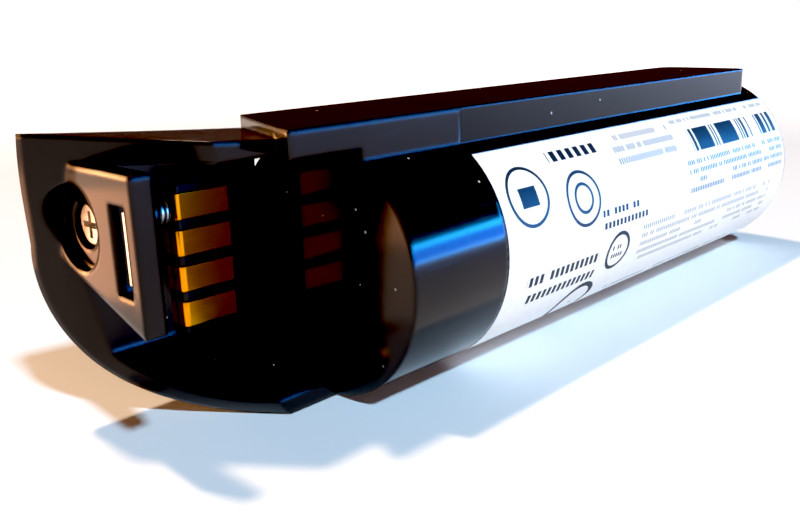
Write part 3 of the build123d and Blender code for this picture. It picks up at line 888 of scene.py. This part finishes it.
@dataclass
class ScrewSet:
    """The captive screw, its ring, the slot's bar and the screw's thread."""

    thread: ScrewThread = field(default_factory=ScrewThread)

    def dress(self) -> None:
        """Dresses the metal pieces and winds the thread."""
        pieces = ("captive_screw", "screw_retaining_ring", "slot_bar")
        DressedSet("screw set", {name: STEEL for name in pieces}).dress()
        self.thread.build()


@dataclass
class Electronics:
    """The protection board and what is wired to it."""

    def dress(self) -> None:
        """Dresses the board, its parts and the tabs."""
        DressedSet(
            "electronics",
            {
                "protection_board": BOARD,
                "power_transistors": CHIP,
                "gauge_chip": CHIP,
                "chip_resistors": CERAMIC,
                "thermistor": CERAMIC,
                "thermistor_leads": COPPER,
                "positive_tab": NICKEL,
                "negative_tab": NICKEL,
                "tab_insulating_film": AMBER,
            },
        ).dress()


@dataclass
class Cell:
    """The round cell and the soft pieces at its ends."""

    def dress(self) -> None:
        """Dresses the cell's pieces."""
        DressedSet(
            "cell",
            {
                "cell_can": NICKEL,
                "cell_top_cap": NICKEL,
                "cell_vent_disc": FOIL,
                "cell_lead_plate": FOIL,
                "cell_inner_lead": FOIL,
                "cell_sleeve": SLEEVE,
                "cell_gasket": CARRIER,
                "cell_mandrel": CARRIER,
                "cell_upper_insulator": PAPER,
                "cell_lower_insulator": PAPER,
                "cell_spacer": PAPER,
                "cell_electrode_roll": ROLL,
                "nose_foam_pad": FOAM,
            },
        ).dress()


@dataclass
class Stage:
    """The pale table and the bright room round it."""

    floor_half: float = 6.0
    dome_radius: float = 5.0
    floor_color: Color = (0.86, 0.85, 0.83)
    glow_color: Color = (1.0, 0.99, 0.96)
    world_color: Color = (0.05, 0.012, 0.006)
    glow_start: float = 0.14
    glow_full: float = 0.5

    def paper(self) -> bpy.types.Material:
        """Makes the table's white paper, which stays bright far from the lamps.

        Returns:
            The material.
        """
        material = bpy.data.materials.new("table_paper")
        material.use_nodes = True
        graph = NodeGraph(material.node_tree)
        shader = material.node_tree.nodes["Principled BSDF"]
        place = graph.add("ShaderNodeTexCoord").outputs["Object"]
        length = graph.add("ShaderNodeVectorMath", operation="LENGTH")
        graph.tree.links.new(place, length.inputs[0])
        glow = graph.ramp(length.outputs["Value"], self.glow_start, self.glow_full, 0.0, 1.0)
        graph.feed(shader, Base_Color=(*self.floor_color, 1.0), Roughness=0.75)
        graph.feed(shader, Emission_Color=(*self.glow_color, 1.0), Emission_Strength=glow)
        return material

    def glow(self) -> bpy.types.Material:
        """Makes the even light of the room's far walls.

        Returns:
            The material.
        """
        material = bpy.data.materials.new("room_glow")
        material.use_nodes = True
        graph = NodeGraph(material.node_tree)
        graph.tree.nodes.clear()
        light = graph.add("ShaderNodeEmission")
        graph.feed(light, Color=(*self.glow_color, 1.0), Strength=1.0)
        sink = graph.add("ShaderNodeOutputMaterial")
        graph.feed(sink, Surface=light.outputs[0])
        return material

    def link(self, name: str, shape: bmesh.types.BMesh, material: bpy.types.Material) -> bpy.types.Object:
        """Makes a stage object from a shape.

        Args:
            name: The object's name.
            shape: Its mesh, which is freed.
            material: Its material.

        Returns:
            The object.
        """
        mesh = bpy.data.meshes.new(name)
        shape.to_mesh(mesh)
        shape.free()
        mesh.materials.append(material)
        thing = bpy.data.objects.new(name, mesh)
        bpy.context.scene.collection.objects.link(thing)
        return thing

    def build(self) -> None:
        """Makes the table and the room."""
        shape = bmesh.new()
        bmesh.ops.create_grid(shape, x_segments=1, y_segments=1, size=self.floor_half)
        self.link("table", shape, self.paper())
        shape = bmesh.new()
        bmesh.ops.create_uvsphere(shape, u_segments=32, v_segments=16, radius=self.dome_radius)
        room = self.link("room", shape, self.glow())
        room.visible_diffuse = False
        room.visible_glossy = False
        room.visible_shadow = False
        world = bpy.data.worlds.new("dim_room")
        world.use_nodes = True
        world.node_tree.nodes["Background"].inputs["Color"].default_value = (*self.world_color, 1.0)
        bpy.context.scene.world = world


@dataclass
class Lamp:
    """One flat lamp that looks at the pack."""

    name: str
    azimuth: float
    elevation: float
    distance: float
    size: tuple[float, float]
    power: float
    color: Color
    diffuse: bool = True
    glossy: bool = True

    def build(self) -> None:
        """Adds the lamp."""
        data = bpy.data.lights.new(self.name, "AREA")
        data.shape = "RECTANGLE"
        data.size, data.size_y = self.size
        data.energy = self.power
        data.color = self.color
        lamp = bpy.data.objects.new(self.name, data)
        bpy.context.scene.collection.objects.link(lamp)
        turn, tilt = math.radians(self.azimuth), math.radians(self.elevation)
        away = Vector((math.cos(turn) * math.cos(tilt), math.sin(turn) * math.cos(tilt), math.sin(tilt)))
        lamp.location = Vector((0.0, 0.0, AXIS_HEIGHT)) + away * self.distance
        lamp.rotation_mode = "QUATERNION"
        lamp.rotation_quaternion = (-away).to_track_quat("-Z", "Y")
        lamp.visible_camera = False
        lamp.visible_diffuse = self.diffuse
        lamp.visible_glossy = self.glossy


@dataclass
class Lighting:
    """The lamps: a warm one overhead, cool and warm ones in front, a low window and a low lamp behind."""

    lamps: tuple[Lamp, ...] = (
        Lamp("warm_key", 116.0, 71.0, 0.9, (0.06, 0.06), 5.4, (1.0, 0.74, 0.52)),
        Lamp("cool_fill", -108.0, 48.0, 0.9, (0.06, 0.06), 8.6, (0.48, 0.74, 1.0), glossy=False),
        Lamp("front_fill", -100.0, 12.0, 0.9, (0.3, 0.3), 2.4, (1.0, 0.72, 0.46), glossy=False),
        Lamp("window", -43.0, 6.2, 1.0, (1.4, 0.21), 15.0, (0.03, 0.22, 1.0), diffuse=False),
        Lamp("window_head", -43.0, 10.6, 0.98, (1.4, 0.06), 4.6, (0.02, 0.6, 1.0), diffuse=False),
        Lamp("window_sill", -43.0, 0.6, 0.98, (1.4, 0.025), 2.0, (0.12, 0.5, 1.0), diffuse=False),
        Lamp("low_lamp", 125.0, 5.0, 0.3, (0.34, 0.05), 2.2, (1.0, 0.42, 0.16), diffuse=False),
        Lamp("rim_lamp", 107.0, 17.0, 0.5, (0.26, 0.16), 1.6, (1.0, 0.6, 0.28), diffuse=False),
        Lamp("warm_card", 146.0, -3.6, 0.072, (0.045, 0.013), 0.0055, (1.0, 0.4, 0.17), diffuse=False),
    )

    def build(self) -> None:
        """Adds every lamp."""
        for lamp in self.lamps:
            lamp.build()
        LOG.info("%d lamps", len(self.lamps))


@dataclass
class ViewCamera:
    """The camera: where it stands and how it is turned."""

    place: tuple[float, float, float] = (-0.06892, -0.05218, 0.03047)
    right: tuple[float, float, float] = (0.6953, -0.7184, -0.0234)
    down: tuple[float, float, float] = (-0.2156, -0.1774, -0.9602)
    ahead: tuple[float, float, float] = (0.6856, 0.6727, -0.2782)
    lens: float = 38.25
    sensor: float = 36.0
    shift: tuple[float, float] = (-0.005, 0.0019)

    def build(self) -> None:
        """Adds the camera and makes it the scene's."""
        data = bpy.data.cameras.new("camera")
        data.lens, data.sensor_width = self.lens, self.sensor
        data.shift_x, data.shift_y = self.shift
        data.clip_start, data.clip_end = 0.002, 50.0
        camera = bpy.data.objects.new("camera", data)
        bpy.context.scene.collection.objects.link(camera)
        right, up, back = Vector(self.right), -Vector(self.down), -Vector(self.ahead)
        turn = Matrix((right, up, back)).transposed().to_4x4()
        camera.matrix_world = Matrix.Translation(Vector(self.place)) @ turn
        bpy.context.scene.camera = camera


@dataclass
class Tone:
    """How light is shown: the levels that are shown as black and as white."""

    black: Color = (0.022, 0.024, 0.026)
    white: Color = (0.88, 0.88, 0.88)

    def apply(self) -> None:
        """Sets the scene's view."""
        view = bpy.context.scene.view_settings
        view.view_transform = "Standard"
        view.look = "None"
        view.use_curve_mapping = True
        view.curve_mapping.black_level = self.black
        view.curve_mapping.white_level = self.white
        view.curve_mapping.update()


def main() -> None:
    """Dresses the pack piece by piece, then adds the table, the lamps and the camera."""
    logging.basicConfig(level=logging.INFO, format="%(name)s: %(message)s")
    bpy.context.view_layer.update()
    Housing().dress()
    ContactBlock().dress()
    ScrewSet().dress()
    Electronics().dress()
    Cell().dress()
    Stage().build()
    Lighting().build()
    ViewCamera().build()
    Tone().apply()


if __name__ == "__main__":
    main()
